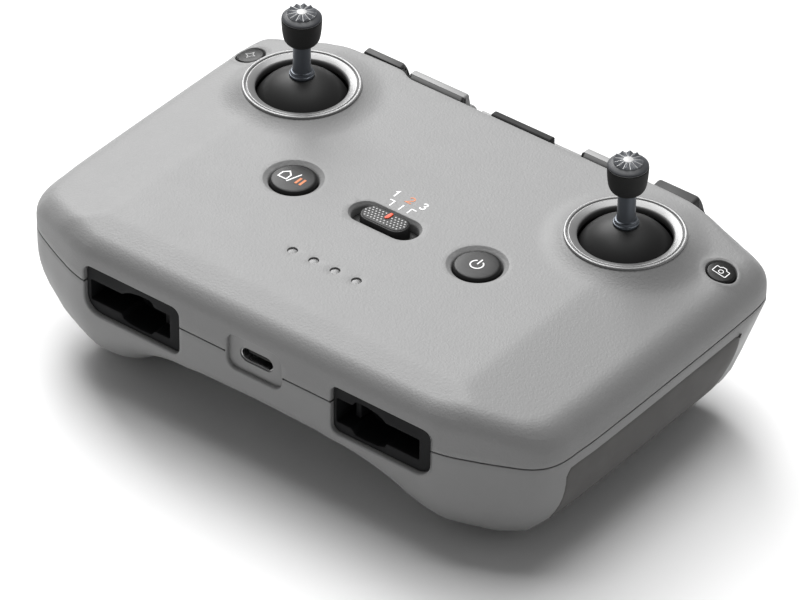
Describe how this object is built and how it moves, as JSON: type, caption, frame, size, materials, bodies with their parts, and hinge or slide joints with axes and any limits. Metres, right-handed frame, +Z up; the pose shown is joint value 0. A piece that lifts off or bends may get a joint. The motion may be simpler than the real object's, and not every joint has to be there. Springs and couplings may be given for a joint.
{
  "type": "radio transmitter controller",
  "caption": "Handheld drone radio transmitter with a slim grey body, removable control sticks, face buttons, a mode switch, rear dial and shutter, and a pull-out phone holder.",
  "frame": {"origin": "on the table, under the middle of the bounding box", "axes": "+Z up out of the face with the sticks, +Y away from the user, X = 0 the plane of symmetry with +X to the right stick"},
  "size_m": [0.15, 0.1042, 0.0652],
  "materials": {
    "shell_plastic": "fine leather-like grain, satin",
    "lower_plastic": "smooth satin",
    "grip_rubber": "matte",
    "charcoal_plastic": "fine matte",
    "dark_steel": "black oxide",
    "ring_metal": "satin anodised",
    "steel": "bright",
    "board": "solder mask",
    "dome_plastic": "fine matte",
    "stick_metal": "dark anodised",
    "knob_rubber": "matte",
    "crown_metal": "machined, anodised",
    "button_plastic": "semi-gloss",
    "light_pipe": "clear, unlit",
    "cell_wrap": "shrink wrap",
    "brass": "plain",
    "dial_plastic": "fine matte"
  },
  "bodies": {
    "root": {"battery_cradles": "charcoal_plastic", "control_board": "board", "dial_axle": "steel", "dial_bezel": "charcoal_plastic", "dial_bracket": "charcoal_plastic", "holder_rails": "charcoal_plastic", "holder_spring": "steel", "left_battery_cell": "cell_wrap", "left_gimbal_frame": "charcoal_plastic", "left_grip_pad": "grip_rubber", "left_slot_insert": "charcoal_plastic", "left_stick_ring": "ring_metal", "light_pipes": "light_pipe", "lower_shell": "lower_plastic", "main_board": "board", "mode_switch_body": "charcoal_plastic", "port_shell": "steel", "port_tongue": "charcoal_plastic", "return_springs": "steel", "right_battery_cell": "cell_wrap", "right_gimbal_frame": "charcoal_plastic", "right_grip_pad": "grip_rubber", "right_slot_insert": "charcoal_plastic", "right_stick_ring": "ring_metal", "shell_screws": "dark_steel", "shutter_bezel": "charcoal_plastic", "shutter_switch": "board", "side_switches": "board", "slot_strips": "grip_rubber", "status_leds": "light_pipe", "stick_sensors": "board", "tact_switches": "charcoal_plastic", "upper_shell": "shell_plastic"},
    "holder_middle": {"holder_stage": "charcoal_plastic"},
    "holder": {"holder_arm": "charcoal_plastic", "holder_head": "lower_plastic", "antennas": "brass", "lip_pads": "grip_rubber", "centre_lip": "dome_plastic"},
    "power": {"power_button": "button_plastic"},
    "home": {"home_button": "button_plastic"},
    "camera": {"camera_button": "button_plastic"},
    "function": {"function_button": "button_plastic"},
    "mode": {"mode_knob": "knob_rubber"},
    "dial": {"gimbal_dial": "dial_plastic"},
    "shutter": {"shutter_button": "dial_plastic"},
    "left_yoke": {"left_gimbal_yoke": "charcoal_plastic"},
    "left_stick": {"left_gimbal_post": "steel", "left_sensor_magnet": "steel", "left_stick_dome": "dome_plastic", "left_stick_shaft": "stick_metal", "left_stick_knob": "knob_rubber", "left_stick_crown": "crown_metal"},
    "right_yoke": {"right_gimbal_yoke": "charcoal_plastic"},
    "right_stick": {"right_gimbal_post": "steel", "right_sensor_magnet": "steel", "right_stick_dome": "dome_plastic", "right_stick_shaft": "stick_metal", "right_stick_knob": "knob_rubber", "right_stick_crown": "crown_metal"}
  },
  "joints": [
    {"name": "left_stick_pitch", "type": "hinge", "parent": "root", "child": "left_yoke", "pos_m": [-0.0462, 0.022, 0.0356], "axis": [1, 0, 0], "range_deg": [-25, 25], "stiffness_Nm_per_rad": 0.012},
    {"name": "left_stick_roll", "type": "hinge", "parent": "left_yoke", "child": "left_stick", "pos_m": [-0.0462, 0.022, 0.0356], "axis": [0, 1, 0], "range_deg": [-25, 25], "stiffness_Nm_per_rad": 0.012},
    {"name": "right_stick_pitch", "type": "hinge", "parent": "root", "child": "right_yoke", "pos_m": [0.0462, 0.022, 0.0356], "axis": [1, 0, 0], "range_deg": [-25, 25], "stiffness_Nm_per_rad": 0.012},
    {"name": "right_stick_roll", "type": "hinge", "parent": "right_yoke", "child": "right_stick", "pos_m": [0.0462, 0.022, 0.0356], "axis": [0, 1, 0], "range_deg": [-25, 25], "stiffness_Nm_per_rad": 0.012},
    {"name": "power_press", "type": "slide", "parent": "root", "child": "power", "axis": [0, 0, -1], "range_m": [0, 0.0004], "stiffness_N_per_m": 900, "springref_m": -0.0004},
    {"name": "home_press", "type": "slide", "parent": "root", "child": "home", "axis": [0, 0, -1], "range_m": [0, 0.0004], "stiffness_N_per_m": 900, "springref_m": -0.0004},
    {"name": "camera_press", "type": "slide", "parent": "root", "child": "camera", "axis": [-0.1822, 0, -0.9833], "range_m": [0, 0.0004], "stiffness_N_per_m": 900, "springref_m": -0.0004},
    {"name": "function_press", "type": "slide", "parent": "root", "child": "function", "axis": [0.1822, 0, -0.9833], "range_m": [0, 0.0004], "stiffness_N_per_m": 900, "springref_m": -0.0004},
    {"name": "mode_slide", "type": "slide", "parent": "root", "child": "mode", "axis": [1, 0, 0], "range_m": [-0.0022, 0.0022]},
    {"name": "dial_turn", "type": "hinge", "parent": "root", "child": "dial", "pos_m": [-0.04175, 0.0389, 0.0325], "axis": [1, 0, 0], "range_deg": [-14, 14], "stiffness_Nm_per_rad": 0.03},
    {"name": "shutter_press", "type": "slide", "parent": "root", "child": "shutter", "axis": [0, -1, 0], "range_m": [0, 0.0011], "stiffness_N_per_m": 900, "springref_m": -0.0008},
    {"name": "holder_middle_slide", "type": "slide", "parent": "root", "child": "holder_middle", "axis": [0, 1, 0], "range_m": [0, 0.042], "stiffness_N_per_m": 25, "springref_m": -0.04},
    {"name": "holder_slide", "type": "slide", "parent": "holder_middle", "child": "holder", "axis": [0, 1, 0], "range_m": [0, 0.042], "stiffness_N_per_m": 25, "springref_m": -0.04}
  ],
  "couplings": [
    {"joint": "holder_slide", "follows": "holder_middle_slide", "ratio": 1}
  ]
}
